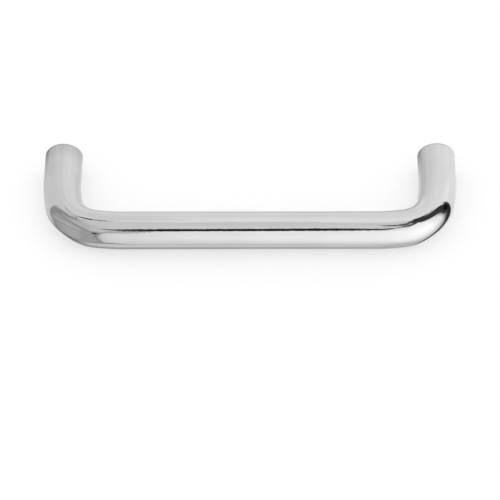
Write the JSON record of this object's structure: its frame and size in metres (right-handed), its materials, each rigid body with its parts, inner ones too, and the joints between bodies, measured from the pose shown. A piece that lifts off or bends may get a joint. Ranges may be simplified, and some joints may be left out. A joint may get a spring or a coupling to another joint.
{
  "type": "d-shaped cabinet pull",
  "caption": "One-piece D-shaped cabinet pull: a polished round rod bent twice, with a blind tapped hole in the cut end of each leg.",
  "frame": {"origin": "midway between the two tapped holes, on the mounting plane that both leg ends meet", "axes": "+X along the bar from the left leg to the right one, +Y out of the holes' mouths into the drawer front, +Z square to the plane that the bent rod lies in"},
  "size_m": [0.11, 0.032, 0.01],
  "materials": {
    "chrome_plate": "polished bright plating on a drawn steel rod"
  },
  "bodies": {
    "root": {"pull_handle": "chrome_plate"}
  },
  "joints": []
}
